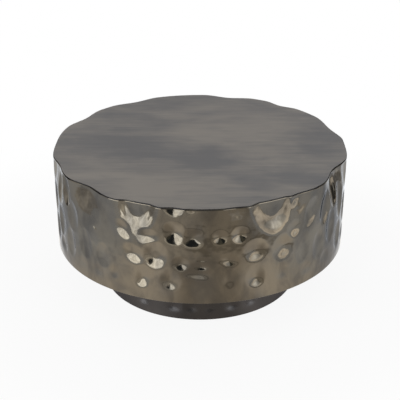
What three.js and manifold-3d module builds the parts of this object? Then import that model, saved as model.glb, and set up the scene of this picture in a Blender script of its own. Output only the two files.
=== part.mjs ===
// A round coffee table of hammered sheet metal: a wide drum with a flat top, on a narrower plinth.
// Millimetres, +Z up, origin on the floor under the drum's axis.
// A turn of 0 is the front, -Y, and turns grow towards +X.
import * as THREE from "three";
import Module from "manifold-3d";
import { mergeVertices } from "three/addons/utils/BufferGeometryUtils.js";

const wasm = await Module();
wasm.setup();

// Overall sizes
const DRUM_DIAMETER = 800;
const TABLE_HEIGHT = 396;
const PLINTH_DIAMETER = 544;
const DRUM_CLEARANCE = 132; // floor to the drum's lower edge

// Sheets and boards
const WALL_SHEET = 1.6;
const TOP_SHEET = 2.5;
const PLINTH_SHEET = 1.6;
const PANEL_THICKNESS = 9;
const PANEL_RECESS = 3; // the drum's lower edge to the panel's underside

// Rings
const RIM_RING_WIDTH = 30;
const RIM_RING_THICKNESS = 5;
const FLANGE_WIDTH = 44;
const FLANGE_THICKNESS = 4;
const FOOT_RING_WIDTH = 44;
const FOOT_RING_THICKNESS = 4;

// Square tube of the inner frame
const TUBE_SIZE = 25;
const TUBE_WALL = 2;
const POST_CIRCLE_DIAMETER = 360; // between the middles of opposite posts

// Clearances
const SEAT_GAP = 0.3; // between pieces that are welded, clamped or seated on each other
const EDGE_MARGIN = 12; // from the upper rails' ends to the deepest dent of the drum's edge
const RIM_MARGIN = 4; // plain wall past the rings welded inside the drum and the plinth
const CUT_OVERRUN = 5; // how far a cutter runs past what it cuts

// Bolts that clamp the plinth to the lower rails
const BOLT_DIAMETER = 8;
const BOLT_HEAD_WIDTH = 13; // across flats
const BOLT_HEAD_HEIGHT = 5.3;
const BOLT_END = 2; // shank past its nut
const BOLT_CLEARANCE = 0.5; // all round the shank, in its holes
const WASHER_DIAMETER = 16;
const WASHER_THICKNESS = 1.6;
const NUT_WIDTH = 13; // across flats
const NUT_HEIGHT = 6.5;

// Countersunk screws that hold the panel to the ring inside the rim
const PANEL_SCREW_COUNT = 8;
const PANEL_SCREW_DIAMETER = 4.2;
const PANEL_SCREW_HEAD = 8.4;
const PANEL_SCREW_HEAD_HEIGHT = 2.4;
const PANEL_SCREW_END = 3; // shank past the ring
const SCREW_CLEARANCE = 0.4; // all round a screw's shank and head

// Glides under the plinth, and the screws in their pockets
const GLIDE_COUNT = 6;
const GLIDE_DIAMETER = 32;
const GLIDE_HEIGHT = 7;
const GLIDE_CHAMFER = 1.5;
const GLIDE_STANDOFF = 3; // floor to the plinth wall's lower edge
const GLIDE_SCREW_DIAMETER = 4;
const GLIDE_SCREW_HEAD = 8.5;
const GLIDE_SCREW_HEAD_HEIGHT = 2.2;
const GLIDE_SCREW_SINK = 1.5; // floor to the screw's head
const GLIDE_SCREW_END = 3; // shank past the foot ring

// Hammer blows placed by hand: what the shares of their widths, heights and depths are shares of
const BLOW_WIDTH = 60;
const BLOW_DEPTH = 10;

// Hammer blows scattered on the drum's wall and hammered into its edge
const SCATTER_WIDTH = 66; // of the widest scattered blow
const SCATTER_DEPTH = 7; // of the deepest scattered blow
const BLOW_PITCH = 62; // from blow to blow along a row
const RIM_FADE = 24; // height over which the blows fade towards a plain rim
const EDGE_FADE = 10; // height over which they fade towards the drum's stiff upper edge
const EDGE_BLOW_WIDTH = 160;
const EDGE_BLOW_HEIGHT = 180;
const EDGE_BLOW_DEPTH = 15;

// Hammer blows on the plinth
const PLINTH_BLOW_WIDTH = 66;
const PLINTH_BLOW_DEPTH = 5;
const PLINTH_BLOW_PITCH = 66;

// Mesh steps along and up the hammered walls
const WALL_STEP = 19;
const WALL_ROW = 21;
const PLINTH_STEP = 20;
const PLINTH_ROW = 24;

// How sharply one blow ends where a deeper one begins, and the power that makes a blow's outline an ellipse
const BLOW_MEETING_POWER = 4;
const ELLIPSE_POWER = 2;

// Facets round a full circle
const RING_FACETS = 72;
const GLIDE_FACETS = 24;
const SMALL_FACETS = 12;
const HEX_FACETS = 6;

const FULL_TURN = 2 * Math.PI;
const QUARTER_TURN = FULL_TURN / 4;
const ARM_NAMES = ["front", "right", "rear", "left"]; // the inner frame's arms, a quarter turn apart

// Blows placed by hand on the part of the wall that faces the front; one that is centred above the wall
// draws in its edge. Each row holds shares: its turn, of a full turn; its height, of the wall's height; its
// width and height, of the blow width; its depth, of the blow depth. Some rows add: how far its width leans
// from level, of a full turn; how much of its reach slopes, round a flat floor; its fullness, of an
// ellipse's, where less is more pointed and more is squarer.
const frontBlowShares = [
  [-0.063, 1.12, 2.1, 4.07, 1.07, -0.008, 0.5, 0.975],
  [-0.0255, 1.04, 1.2, 1.13, 0.66],
  [-0.009, 1.02, 0.6, 0.6, 0.24],
  [0.075, 1.1, 2.47, 4.0, 1.2, 0.006, 0.48, 0.9],
  [0.1017, 0.975, 0.5, 1.07, 0.28, -0.083],
  [-0.079, 0.715, 0.83, 1.2, 0.62, 0.117],
  [-0.0533, 0.69, 1.27, 0.83, 0.56, 0.014],
  [-0.0258, 0.75, 1.1, 1.2, 1.0, 0, 1, 1.15],
  [-0.0075, 0.705, 1.03, 0.93, 0.7, 0, 1, 1.5],
  [0.0197, 0.71, 0.8, 0.77, 0.6],
  [0.0394, 0.72, 0.9, 0.87, 0.7],
  [0.1005, 0.66, 0.87, 1.07, 0.55, -0.069],
  [-0.068, 0.475, 1.23, 0.93, 0.7, -0.094],
  [-0.045, 0.5, 1.27, 1.43, 0.8, 0, 0.8],
  [-0.019, 0.43, 0.87, 0.8, 0.54],
  [0.0017, 0.475, 0.47, 0.27, 0.17],
  [0.0005, 0.4, 0.8, 0.57, 0.48],
  [0.0289, 0.46, 0.93, 0.67, 0.44, -0.056],
  [0.0561, 0.53, 1.23, 1.17, 0.66],
  [0.0878, 0.5, 1.2, 1.4, 0.8, -0.042, 1, 1.15],
  [-0.059, 0.235, 0.87, 1.33, 0.85, -0.033],
  [-0.03, 0.24, 1.07, 1.2, 0.6],
  [-0.0017, 0.33, 1.4, 0.63, 0.28, -0.017, 1, 1.2],
  [0.029, 0.25, 0.87, 1.07, 0.3],
  [0.057, 0.24, 1.03, 1.27, 0.7],
  [-0.092, 0.21, 0.6, 0.8, 0.24],
  [0.086, 0.24, 0.9, 1.0, 0.2],
];

// The soft blows on the plinth's front, as the front table's first five shares but of the plinth's height
const plinthBlowShares = [
  [-0.0944, 0.27, 0.93, 1, 0.6],
  [-0.0422, 0.26, 1, 1, 0.6],
  [-0.0136, 0.28, 0.9, 1.07, 0.48],
  [0.0153, 0.25, 1, 1, 0.44],
  [0.0508, 0.27, 0.97, 1, 0.56],
  [0.0842, 0.29, 0.9, 1, 0.56],
];

// Crisp, tall blows placed by hand on the sides of the wall that the front view still sees. Each row holds
// the same shares, up to the lean.
const sideBlowShares = [
  [-0.211, 0.96, 0.87, 1.53, 0.5],
  [-0.208, 0.62, 0.9, 1.67, 0.7],
  [-0.2055, 0.29, 0.87, 1.47, 0.65],
  [-0.186, 0.8, 0.8, 1.53, 0.6],
  [-0.1847, 0.44, 0.83, 1.53, 0.6],
  [-0.1833, 0.15, 0.8, 1.07, 0.4],
  [-0.168, 0.865, 0.8, 1.73, 0.85, 0.025],
  [-0.1542, 0.62, 0.9, 1.47, 0.4, 0.014],
  [-0.1611, 0.29, 0.8, 1.47, 0.44],
  [-0.132, 0.4, 0.9, 1.47, 0.34],
  [-0.1389, 0.12, 0.8, 0.93, 0.16],
  [-0.1139, 0.715, 0.73, 1.0, 0.28],
  [-0.1056, 0.36, 0.8, 1.2, 0.3],
  [-0.1139, 0.13, 0.73, 0.87, 0.14],
  [0.1236, 0.77, 0.8, 1.4, 0.46, -0.056],
  [0.1139, 0.42, 0.87, 1.53, 0.38, -0.017],
  [0.1194, 0.13, 0.8, 0.93, 0.16],
  [0.1486, 0.73, 0.8, 1.67, 0.64, -0.022],
  [0.1389, 0.36, 0.83, 1.47, 0.4],
  [0.1694, 0.86, 0.73, 1.87, 0.7, -0.011],
  [0.1625, 0.47, 0.83, 1.67, 0.56],
  [0.1528, 0.13, 0.8, 1.0, 0.22],
  [0.1875, 0.66, 0.8, 1.73, 0.7],
  [0.1861, 0.27, 0.83, 1.53, 0.6],
  [0.2083, 0.9, 0.83, 1.67, 0.6],
  [0.2097, 0.5, 0.83, 1.6, 0.65],
  [0.2083, 0.17, 0.8, 1.13, 0.4],
];

// Wide blows that draw in the drum's upper edge, all the way round. Each row holds shares: its turn, of a
// full turn; its width, height and depth, of the edge blow's.
const edgeBlowShares = [
  [-0.127, 1.05, 0.95, 0.95],
  [0.035, 0.5, 0.5, 0.2],
  [0.105, 0.8, 1.0, 0.5],
  [0.178, 1.2, 1.0, 1.2],
  [0.25, 1.2, 1.0, 0.25],
  [0.3, 1.3, 1.0, 0.85],
  [0.394, 0.75, 0.9, 0.8],
  [0.464, 1.0, 1.0, 1.05],
  [0.583, 1.0, 1.0, 0.8],
  [0.664, 1.0, 1.0, 0.8],
  [0.745, 1.4, 1.0, 0.3],
  [0.806, 0.9, 1.0, 0.55],
];

// Rows of scattered blows, as shares of a wall's height, and how far a blow may stray from the pattern; the
// stretches are shares of a full turn, each way from the front, that are left to the placed blows
const wallRowShares = [0.14, 0.39, 0.65, 0.91];
const plinthRowShares = [0.3, 0.74];
const frontStretchShare = 0.223;
const plinthStretchShare = 0.125;
const scatterTallShare = 1.5; // the height of the drum's scattered blows, of their width
const turnStrayShare = 0.6;
const heightStrayShare = 0.08;
const widthStrayShare = 0.35;
const depthStrayShare = 0.7;
const turnScatterShare = 0.618034;
const heightScatterShare = 0.754878;
const widthScatterShare = 0.56984;
const depthScatterShare = 0.819173;

// Finishes
const polishedWall = { color: 0x8f877a, metalness: 1, roughness: 0.14 };
const satinTop = { color: 0x8a8580, metalness: 1, roughness: 0.42 };
const darkPlinth = { color: 0x54504c, metalness: 1, roughness: 0.35 };
const blackPaint = { color: 0x1d1d1e, metalness: 0, roughness: 0.6 };
const paintedBoard = { color: 0x161616, metalness: 0, roughness: 0.8 };
const zincPlate = { color: 0xb4b6b8, metalness: 1, roughness: 0.35 };
const blackNylon = { color: 0x232323, metalness: 0, roughness: 0.55 };

// Radius of the flats of a regular outline, from the radius of its corners
function flatRadius(cornerRadius, facets) {
  return cornerRadius * Math.cos(FULL_TURN / (2 * facets));
}

// Radius of a hexagon's corners, from its width across flats
function hexRadius(width) {
  return width / 2 / Math.cos(FULL_TURN / (2 * HEX_FACETS));
}

// Heights
const wallTop = TABLE_HEIGHT - TOP_SHEET - SEAT_GAP;
const wallHeight = wallTop - DRUM_CLEARANCE;
const panelBottom = DRUM_CLEARANCE + PANEL_RECESS;
const ringBottom = panelBottom + PANEL_THICKNESS + SEAT_GAP;
const ringTop = ringBottom + RIM_RING_THICKNESS;
const plainRim = ringTop + RIM_MARGIN - DRUM_CLEARANCE;
const lowerRailTop = ringBottom + TUBE_SIZE;
const upperRailBottom = wallTop - TUBE_SIZE;
const flangeTop = panelBottom - SEAT_GAP;
const flangeBottom = flangeTop - FLANGE_THICKNESS;
const footRingBottom = GLIDE_HEIGHT + SEAT_GAP;
const footRingTop = footRingBottom + FOOT_RING_THICKNESS;

// Radii
const drumRadius = DRUM_DIAMETER / 2;
const plinthRadius = PLINTH_DIAMETER / 2;
const wallSteps = 4 * Math.round((FULL_TURN * drumRadius) / (4 * WALL_STEP));
const plinthSteps = 4 * Math.round((FULL_TURN * plinthRadius) / (4 * PLINTH_STEP));
const rimInsideRadius = flatRadius(drumRadius - WALL_SHEET, wallSteps) - SEAT_GAP;
const plinthInsideRadius = flatRadius(plinthRadius - PLINTH_SHEET, plinthSteps) - SEAT_GAP;
const ringMiddle = rimInsideRadius - RIM_RING_WIDTH / 2;
const boltCircleRadius = plinthInsideRadius - FLANGE_WIDTH / 2;
const glideCircleRadius = plinthInsideRadius - FOOT_RING_WIDTH / 2;

// Even fractions from 0 to 1 that never repeat, for the scatter of the blows
function scatter(index, stepShare) {
  return (index * stepShare) % 1;
}

// The same turn, between minus half a turn and half a turn
function nearestTurn(turn) {
  return turn - FULL_TURN * Math.round(turn / FULL_TURN);
}

// A blow from its place and sizes, plain where the rest isn't given; a crisp one is a bowl with a sharp rim
function blow({ turn, z, width, tall, depth, lean = 0, slopeShare = 1, fullnessShare = 1, crisp = false }) {
  const fullness = fullnessShare * ELLIPSE_POWER;
  return { turn, z, halfWidth: width / 2, halfHeight: tall / 2, depth, lean, slopeShare, fullness, crisp };
}

// The blows of a table of shares, on the drum unless another band is given
function placedByHand(rowsOfShares, crisp, lower = DRUM_CLEARANCE, height = wallHeight) {
  return rowsOfShares.map(([turn, heightShare, width, tall, depth, lean = 0, slopeShare, fullnessShare]) =>
    blow({
      turn: turn * FULL_TURN,
      z: lower + heightShare * height,
      width: width * BLOW_WIDTH,
      tall: tall * BLOW_WIDTH,
      depth: depth * BLOW_DEPTH,
      lean: lean * FULL_TURN,
      slopeShare,
      fullnessShare,
      crisp,
    }),
  );
}

function edgeBlows() {
  return edgeBlowShares.map(([turn, width, tall, depth]) =>
    blow({
      turn: turn * FULL_TURN,
      z: wallTop,
      width: width * EDGE_BLOW_WIDTH,
      tall: tall * EDGE_BLOW_HEIGHT,
      depth: depth * EDGE_BLOW_DEPTH,
    }),
  );
}

// Staggered rows of blows round a band, with a stretch left out each side of the front
function scatteredBlows({
  radius, lower, height, rowShares, pitch, width, depth, tallShare = 1, crisp = false, leftOutShare = 0,
}) {
  const blows = [];
  const perRow = Math.round((FULL_TURN * radius) / pitch);
  rowShares.forEach((rowShare, row) => {
    for (let step = 0; step < perRow; step++) {
      const index = row * perRow + step + 1;
      const stray = turnStrayShare * (scatter(index, turnScatterShare) - 0.5);
      const turn = ((step + row / 2 + stray) / perRow) * FULL_TURN;
      if (Math.abs(nearestTurn(turn)) < leftOutShare * FULL_TURN) continue;
      const z = lower + height * (rowShare + heightStrayShare * (scatter(index, heightScatterShare) - 0.5));
      const size = width * (1 - widthStrayShare * scatter(index, widthScatterShare));
      const driven = depth * (1 - depthStrayShare * scatter(index, depthScatterShare));
      blows.push(blow({ turn, z, width: size, tall: size * tallShare, depth: driven, crisp }));
    }
  });
  return blows;
}

// How far the blows have driven a band's surface in at one place; where blows meet, the deeper one wins
function dentAt(blows, radius, turn, z) {
  let sum = 0;
  for (const hit of blows) {
    const side = radius * nearestTurn(turn - hit.turn);
    const rise = z - hit.z;
    const across = Math.abs(side * Math.cos(hit.lean) + rise * Math.sin(hit.lean)) / hit.halfWidth;
    const up = Math.abs(rise * Math.cos(hit.lean) - side * Math.sin(hit.lean)) / hit.halfHeight;
    const reach = (across ** hit.fullness + up ** hit.fullness) ** (1 / hit.fullness);
    const soft = THREE.MathUtils.smoothstep(1 - reach, 0, hit.slopeShare);
    const driven = hit.depth * (hit.crisp ? Math.max(1 - reach * reach, 0) : soft);
    sum += driven ** BLOW_MEETING_POWER;
  }
  return sum ** (1 / BLOW_MEETING_POWER);
}

const frontBlows = placedByHand(frontBlowShares, false);

const drumBlows = [
  ...frontBlows.filter((hit) => hit.z < wallTop),
  ...placedByHand(sideBlowShares, true),
  ...scatteredBlows({
    radius: drumRadius,
    lower: DRUM_CLEARANCE,
    height: wallHeight,
    rowShares: wallRowShares,
    pitch: BLOW_PITCH,
    width: SCATTER_WIDTH,
    depth: SCATTER_DEPTH,
    tallShare: scatterTallShare,
    crisp: true,
    leftOutShare: frontStretchShare,
  }),
];

const drumEdgeBlows = [...edgeBlows(), ...frontBlows.filter((hit) => hit.z >= wallTop)];

const plinthBlows = [
  ...placedByHand(plinthBlowShares, false, GLIDE_STANDOFF, flangeTop - GLIDE_STANDOFF),
  ...scatteredBlows({
    radius: plinthRadius,
    lower: GLIDE_STANDOFF,
    height: flangeTop - GLIDE_STANDOFF,
    rowShares: plinthRowShares,
    pitch: PLINTH_BLOW_PITCH,
    width: PLINTH_BLOW_WIDTH,
    depth: PLINTH_BLOW_DEPTH,
    leftOutShare: plinthStretchShare,
  }),
];

// The drum's outer radius at a turn and height, a true circle at the lower rim
function drumRadiusAt(turn, z) {
  const rimTop = DRUM_CLEARANCE + plainRim;
  const aboveRim = THREE.MathUtils.smoothstep(z, rimTop, rimTop + RIM_FADE);
  const belowEdge = 1 - THREE.MathUtils.smoothstep(z, wallTop - EDGE_FADE, wallTop);
  const drawnIn = dentAt(drumEdgeBlows, drumRadius, turn, z);
  return drumRadius - aboveRim * (drawnIn + belowEdge * dentAt(drumBlows, drumRadius, turn, z));
}

// The plinth's outer radius, a true circle where the foot ring and the flange are welded in
function plinthRadiusAt(turn, z) {
  const lowRim = footRingTop + RIM_MARGIN;
  const highRim = flangeBottom - RIM_MARGIN;
  const aboveLow = THREE.MathUtils.smoothstep(z, lowRim, lowRim + RIM_FADE);
  const belowHigh = 1 - THREE.MathUtils.smoothstep(z, highRim - RIM_FADE, highRim);
  return plinthRadius - aboveLow * belowHigh * dentAt(plinthBlows, plinthRadius, turn, z);
}

// A point at a turn and distance from the drum's axis
function around(turn, radius, z = 0) {
  return new THREE.Vector3(radius * Math.sin(turn), -radius * Math.cos(turn), z);
}

// Heights from one level to another in near-equal rows
function levelsBetween(lower, upper, row) {
  const rows = Math.round((upper - lower) / row);
  return Array.from({ length: rows + 1 }, (_, level) => THREE.MathUtils.lerp(lower, upper, level / rows));
}

// A sheet bent into a closed band, whose inner face follows its outer one
function sheetBand({ radiusAt, levels, sheet, steps }) {
  const corners = [];
  const index = [];
  for (const inset of [0, sheet])
    for (const z of levels)
      for (let step = 0; step < steps; step++) {
        const turn = (step / steps) * FULL_TURN;
        corners.push(...around(turn, radiusAt(turn, z) - inset, z));
      }
  const last = levels.length - 1;
  const outer = (level, step) => level * steps + (step % steps);
  const inner = (level, step) => levels.length * steps + outer(level, step);
  const quad = (a, b, c, d) => index.push(a, b, c, a, c, d);
  for (let step = 0; step < steps; step++) {
    const next = step + 1;
    for (let level = 0; level < last; level++) {
      const above = level + 1;
      quad(outer(level, step), outer(level, next), outer(above, next), outer(above, step));
      quad(inner(level, step), inner(above, step), inner(above, next), inner(level, next));
    }
    quad(outer(0, step), inner(0, step), inner(0, next), outer(0, next));
    quad(outer(last, step), outer(last, next), inner(last, next), inner(last, step));
  }
  const band = new THREE.BufferGeometry();
  band.setAttribute("position", new THREE.Float32BufferAttribute(corners, 3));
  return band.setIndex(index);
}

// Even turns round the axis, the first one half a step from the front
function evenTurns(count) {
  return Array.from({ length: count }, (_, index) => ((2 * index + 1) / (2 * count)) * FULL_TURN);
}

// A regular outline with a corner at the front
function regularOutline(radius, facets) {
  return Array.from({ length: facets }, (_, corner) => {
    const { x, y } = around((corner / facets) * FULL_TURN, radius);
    return new THREE.Vector2(x, y);
  });
}

// A round hole's outline, its middle at a turn and distance from the drum's axis
function holeAt(turn, distance, diameter) {
  const middle = around(turn, distance);
  return regularOutline(diameter / 2, SMALL_FACETS).map((corner) => corner.add(middle));
}

// The holes for the bolts that clamp the plinth, one on each arm of the inner frame
function boltHoles() {
  const diameter = BOLT_DIAMETER + 2 * BOLT_CLEARANCE;
  return ARM_NAMES.map((_, quarter) => holeAt(quarter * QUARTER_TURN, boltCircleRadius, diameter));
}

// A flat piece with holes, standing on z = 0
function plate(edge, holes, thickness) {
  const shape = new THREE.Shape(edge);
  shape.holes = holes.map((hole) => new THREE.Path(hole));
  return new THREE.ExtrudeGeometry(shape, { depth: thickness, bevelEnabled: false });
}

// A flat ring with holes, standing on z = 0
function flatRing(radius, width, holes, thickness) {
  const bore = regularOutline(radius - width, RING_FACETS);
  return plate(regularOutline(radius, RING_FACETS), [bore, ...holes], thickness);
}

// A turned piece from its [radius, height] corners, with its axis along Z
function turned(profile, facets) {
  const corners = profile.map(([radius, height]) => new THREE.Vector2(radius, height));
  return new THREE.LatheGeometry(corners, facets).rotateX(QUARTER_TURN);
}

// A round bar along Z
function bar(diameter, lower, upper) {
  const blank = new THREE.CylinderGeometry(diameter / 2, diameter / 2, upper - lower, SMALL_FACETS);
  return blank.rotateX(QUARTER_TURN).translate(0, 0, (lower + upper) / 2);
}

// Square tube standing on z = 0 along Z
function squareTube(length) {
  const square = (size) => {
    const half = size / 2;
    const corners = [[-half, -half], [half, -half], [half, half], [-half, half]];
    return corners.map(([x, y]) => new THREE.Vector2(x, y));
  };
  return plate(square(TUBE_SIZE), [square(TUBE_SIZE - 2 * TUBE_WALL)], length);
}

// A geometry as a solid that can be joined and cut
function solid(geometry) {
  const bare = geometry.clone();
  bare.deleteAttribute("normal");
  bare.deleteAttribute("uv");
  const merged = mergeVertices(bare);
  const vertProperties = new Float32Array(merged.attributes.position.array);
  const triVerts = new Uint32Array(merged.index.array);
  return new wasm.Manifold(new wasm.Mesh({ numProp: 3, vertProperties, triVerts }));
}

function geometryOf(body) {
  const { vertProperties, triVerts } = body.getMesh();
  const geometry = new THREE.BufferGeometry();
  geometry.setAttribute("position", new THREE.BufferAttribute(vertProperties, 3));
  return geometry.setIndex(new THREE.BufferAttribute(triVerts, 1));
}

function joined(first, second) {
  return geometryOf(solid(first).add(solid(second)));
}

function cut(body, cutters) {
  return geometryOf(cutters.reduce((left, cutter) => left.subtract(solid(cutter)), solid(body)));
}

function piece(name, geometry, finish, place = new THREE.Vector3()) {
  const mesh = new THREE.Mesh(geometry, new THREE.MeshStandardMaterial(finish));
  mesh.name = name;
  mesh.position.copy(place);
  return mesh;
}

// The hammered wall, and the top that follows its upper edge
function drumShell() {
  const rimTop = DRUM_CLEARANCE + plainRim;
  const levels = [DRUM_CLEARANCE, ...levelsBetween(rimTop, wallTop, WALL_ROW)];
  const wall = sheetBand({ radiusAt: drumRadiusAt, levels, sheet: WALL_SHEET, steps: wallSteps });
  const edge = Array.from({ length: wallSteps }, (_, step) => {
    const turn = (step / wallSteps) * FULL_TURN;
    const { x, y } = around(turn, drumRadiusAt(turn, wallTop));
    return new THREE.Vector2(x, y);
  });
  const topBottom = new THREE.Vector3(0, 0, TABLE_HEIGHT - TOP_SHEET);
  return [
    piece("drum_wall", wall, polishedWall),
    piece("top_plate", plate(edge, [], TOP_SHEET), satinTop, topBottom),
  ];
}

// The flat ring welded inside the drum's lower rim, which the rails and the panel meet
function rimRing() {
  const holeDiameter = PANEL_SCREW_DIAMETER + 2 * SCREW_CLEARANCE;
  const holes = evenTurns(PANEL_SCREW_COUNT).map((turn) => holeAt(turn, ringMiddle, holeDiameter));
  const ring = flatRing(rimInsideRadius, RIM_RING_WIDTH, holes, RIM_RING_THICKNESS);
  return piece("rim_ring", ring, blackPaint, new THREE.Vector3(0, 0, ringBottom));
}

// A cross of rails: one runs right through, and a front and a rear half butt against it
function railCross({ level, bottom, reach, drilled }) {
  const buttEnd = TUBE_SIZE / 2 + SEAT_GAP;
  const drillReach = TUBE_SIZE + CUT_OVERRUN;
  const drillFrom = (tube, start) => {
    if (!drilled) return tube;
    const bits = [-boltCircleRadius, boltCircleRadius].map((distance) => {
      const bit = bar(BOLT_DIAMETER + 2 * BOLT_CLEARANCE, -drillReach, drillReach);
      return bit.translate(distance - start, 0, 0);
    });
    return cut(tube, bits);
  };
  const rail = (name, start, turn) => {
    const tube = squareTube(reach - start).rotateY(QUARTER_TURN);
    const mesh = piece(`${level}_rail_${name}`, drillFrom(tube, start), blackPaint);
    mesh.rotation.z = turn;
    mesh.position.set(start * Math.cos(turn), start * Math.sin(turn), bottom + TUBE_SIZE / 2);
    return mesh;
  };
  return [
    rail("through", -reach, 0),
    rail("front", buttEnd, -QUARTER_TURN),
    rail("rear", buttEnd, QUARTER_TURN),
  ];
}

function posts() {
  const length = upperRailBottom - lowerRailTop - 2 * SEAT_GAP;
  return ARM_NAMES.map((arm, quarter) => {
    const foot = around(quarter * QUARTER_TURN, POST_CIRCLE_DIAMETER / 2, lowerRailTop + SEAT_GAP);
    return piece(`post_${arm}`, squareTube(length), blackPaint, foot);
  });
}

// The inner frame, from the ring inside the rim to the rails under the top
function innerFrame() {
  const boreFlat = flatRadius(rimInsideRadius - RIM_RING_WIDTH, RING_FACETS);
  const lowerReach = Math.sqrt(boreFlat ** 2 - (TUBE_SIZE / 2) ** 2) - SEAT_GAP;
  const deepestDent = Math.max(...drumEdgeBlows.map((hit) => hit.depth)) + BLOW_DEPTH;
  const upperReach = drumRadius - WALL_SHEET - deepestDent - EDGE_MARGIN;
  return [
    rimRing(),
    ...railCross({ level: "lower", bottom: ringBottom, reach: lowerReach, drilled: true }),
    ...railCross({ level: "upper", bottom: upperRailBottom, reach: upperReach, drilled: false }),
    ...posts(),
  ];
}

// The board that closes the drum from below, with a countersunk hole for each of its screws
function undersidePanel() {
  const headRadius = PANEL_SCREW_HEAD / 2 + SCREW_CLEARANCE;
  const shankRadius = PANEL_SCREW_DIAMETER / 2 + SCREW_CLEARANCE;
  const drill = turned(
    [
      [0, -CUT_OVERRUN],
      [headRadius, -CUT_OVERRUN],
      [headRadius, 0],
      [shankRadius, PANEL_SCREW_HEAD_HEIGHT + SCREW_CLEARANCE],
      [shankRadius, PANEL_THICKNESS + CUT_OVERRUN],
      [0, PANEL_THICKNESS + CUT_OVERRUN],
    ],
    SMALL_FACETS,
  );
  const drills = evenTurns(PANEL_SCREW_COUNT).map((turn) => {
    return drill.clone().translate(...around(turn, ringMiddle));
  });
  const board = plate(regularOutline(rimInsideRadius, RING_FACETS), boltHoles(), PANEL_THICKNESS);
  return piece("underside_panel", cut(board, drills), paintedBoard, new THREE.Vector3(0, 0, panelBottom));
}

function panelScrews() {
  const length = PANEL_THICKNESS + SEAT_GAP + RIM_RING_THICKNESS + PANEL_SCREW_END;
  const screw = turned(
    [
      [0, 0],
      [PANEL_SCREW_HEAD / 2, 0],
      [PANEL_SCREW_DIAMETER / 2, PANEL_SCREW_HEAD_HEIGHT],
      [PANEL_SCREW_DIAMETER / 2, length],
      [0, length],
    ],
    SMALL_FACETS,
  );
  return evenTurns(PANEL_SCREW_COUNT).map((turn, number) =>
    piece(`panel_screw_${number + 1}`, screw, blackPaint, around(turn, ringMiddle, panelBottom)),
  );
}

// The plinth's hammered wall, the flange bolted up under the panel, and the ring that carries the glides
function plinth() {
  const hammered = levelsBetween(footRingTop + RIM_MARGIN, flangeBottom - RIM_MARGIN, PLINTH_ROW);
  const levels = [GLIDE_STANDOFF, ...hammered, flangeTop];
  const wall = sheetBand({ radiusAt: plinthRadiusAt, levels, sheet: PLINTH_SHEET, steps: plinthSteps });
  const screwHoles = evenTurns(GLIDE_COUNT).map((turn) =>
    holeAt(turn, glideCircleRadius, GLIDE_SCREW_DIAMETER + 2 * SCREW_CLEARANCE),
  );
  const flange = flatRing(plinthInsideRadius, FLANGE_WIDTH, boltHoles(), FLANGE_THICKNESS);
  const footRing = flatRing(plinthInsideRadius, FOOT_RING_WIDTH, screwHoles, FOOT_RING_THICKNESS);
  return [
    piece("plinth_wall", wall, darkPlinth),
    piece("plinth_flange", flange, blackPaint, new THREE.Vector3(0, 0, flangeBottom)),
    piece("plinth_foot_ring", footRing, blackPaint, new THREE.Vector3(0, 0, footRingBottom)),
  ];
}

// On each arm a bolt, a washer and a welded nut clamp the flange and the panel to the lower rail
function plinthFixings() {
  const washerBottom = flangeBottom - SEAT_GAP - WASHER_THICKNESS;
  const headTop = washerBottom - SEAT_GAP;
  const headBottom = headTop - BOLT_HEAD_HEIGHT;
  const nutBottom = lowerRailTop + SEAT_GAP;
  const shank = bar(BOLT_DIAMETER, headBottom + BOLT_HEAD_HEIGHT / 2, nutBottom + NUT_HEIGHT + BOLT_END);
  const head = plate(regularOutline(hexRadius(BOLT_HEAD_WIDTH), HEX_FACETS), [], BOLT_HEAD_HEIGHT);
  const bolt = joined(head.translate(0, 0, headBottom), shank);
  const boltHole = regularOutline(BOLT_DIAMETER / 2 + BOLT_CLEARANCE, SMALL_FACETS);
  const nutBore = regularOutline(BOLT_DIAMETER / 2 + SEAT_GAP, SMALL_FACETS);
  const washer = plate(regularOutline(WASHER_DIAMETER / 2, SMALL_FACETS), [boltHole], WASHER_THICKNESS);
  const nut = plate(regularOutline(hexRadius(NUT_WIDTH), HEX_FACETS), [nutBore], NUT_HEIGHT);
  return ARM_NAMES.flatMap((arm, quarter) => {
    const at = (z) => around(quarter * QUARTER_TURN, boltCircleRadius, z);
    return [
      piece(`plinth_bolt_${arm}`, bolt, zincPlate, at(0)),
      piece(`plinth_washer_${arm}`, washer, zincPlate, at(washerBottom)),
      piece(`weld_nut_${arm}`, nut, zincPlate, at(nutBottom)),
    ];
  });
}

// The glides that the table stands on, each with its screw up into the foot ring
function glides() {
  const headTop = GLIDE_SCREW_SINK + GLIDE_SCREW_HEAD_HEIGHT;
  const pocketTop = headTop + SEAT_GAP;
  const pocketRadius = GLIDE_SCREW_HEAD / 2 + SCREW_CLEARANCE;
  const holeRadius = GLIDE_SCREW_DIAMETER / 2 + SCREW_CLEARANCE;
  const padRadius = GLIDE_DIAMETER / 2;
  const screwTop = footRingTop + GLIDE_SCREW_END;
  const pad = turned(
    [
      [holeRadius, pocketTop],
      [pocketRadius, pocketTop],
      [pocketRadius, 0],
      [padRadius - GLIDE_CHAMFER, 0],
      [padRadius, GLIDE_CHAMFER],
      [padRadius, GLIDE_HEIGHT],
      [holeRadius, GLIDE_HEIGHT],
      [holeRadius, pocketTop],
    ],
    GLIDE_FACETS,
  );
  const screw = turned(
    [
      [0, GLIDE_SCREW_SINK],
      [GLIDE_SCREW_HEAD / 2, GLIDE_SCREW_SINK],
      [GLIDE_SCREW_HEAD / 2, headTop],
      [GLIDE_SCREW_DIAMETER / 2, headTop],
      [GLIDE_SCREW_DIAMETER / 2, screwTop],
      [0, screwTop],
    ],
    SMALL_FACETS,
  );
  return evenTurns(GLIDE_COUNT).flatMap((turn, number) => [
    piece(`glide_${number + 1}`, pad, blackNylon, around(turn, glideCircleRadius)),
    piece(`glide_screw_${number + 1}`, screw, zincPlate, around(turn, glideCircleRadius)),
  ]);
}

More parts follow.
